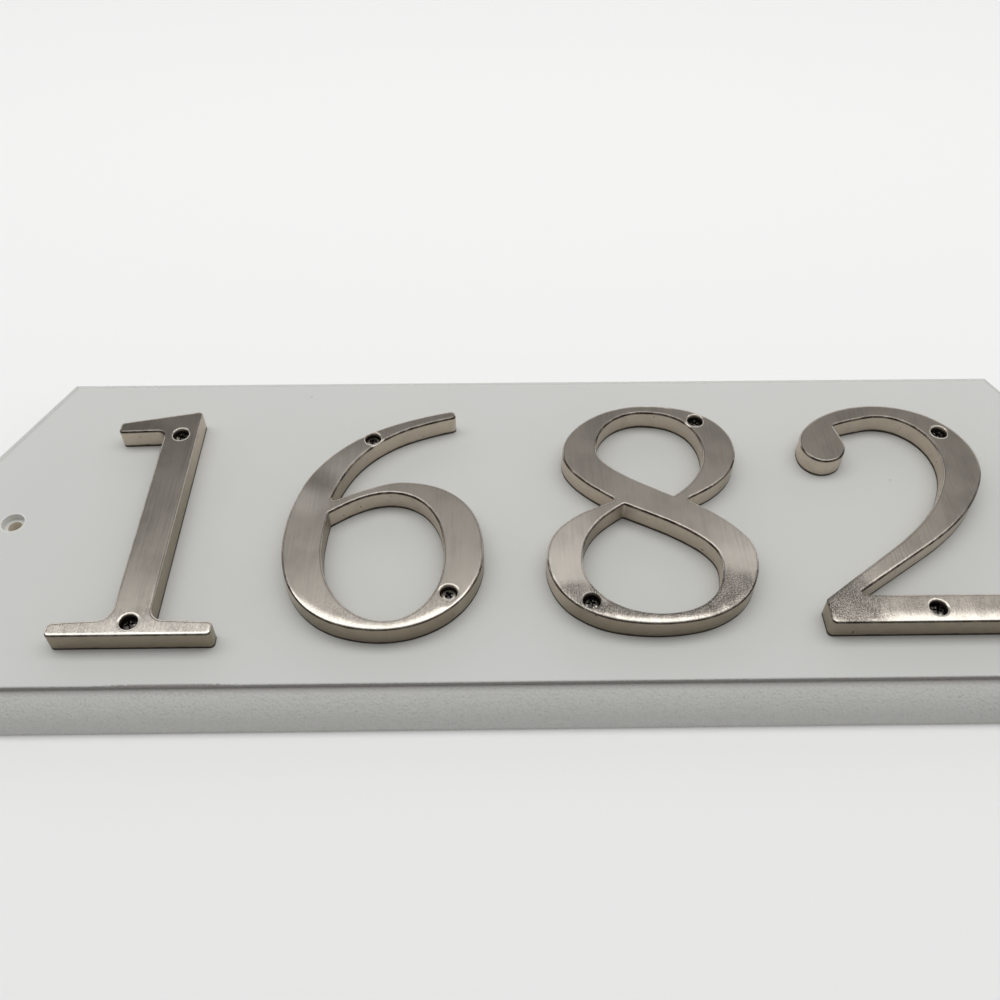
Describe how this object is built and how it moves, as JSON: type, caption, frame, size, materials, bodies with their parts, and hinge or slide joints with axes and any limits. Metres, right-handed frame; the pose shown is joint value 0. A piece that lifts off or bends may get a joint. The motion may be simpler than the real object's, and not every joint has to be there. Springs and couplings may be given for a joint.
{
  "type": "house number plaque",
  "caption": "Flat elongated-hexagon board with a moulded edge, carrying cast serif numerals held by sunk screws; it shows a street number on a wall.",
  "frame": {"origin": "centre of the board's flat back", "axes": "+X along the row in reading direction, +Y up the numerals, +Z out of the face; the plaque lies on its back as in the picture"},
  "size_m": [0.4456, 0.156, 0.0204],
  "materials": {
    "board_paint": "off-white satin paint over board, rougher on the routed edge",
    "satin_nickel": "brushed satin nickel plate over a solid casting",
    "dark_steel": "blackened steel"
  },
  "bodies": {
    "root": {"backing_board": "board_paint", "numeral_one": "satin_nickel", "numeral_six": "satin_nickel", "numeral_eight": "satin_nickel", "numeral_two": "satin_nickel", "numeral_screws": "dark_steel"}
  },
  "joints": []
}
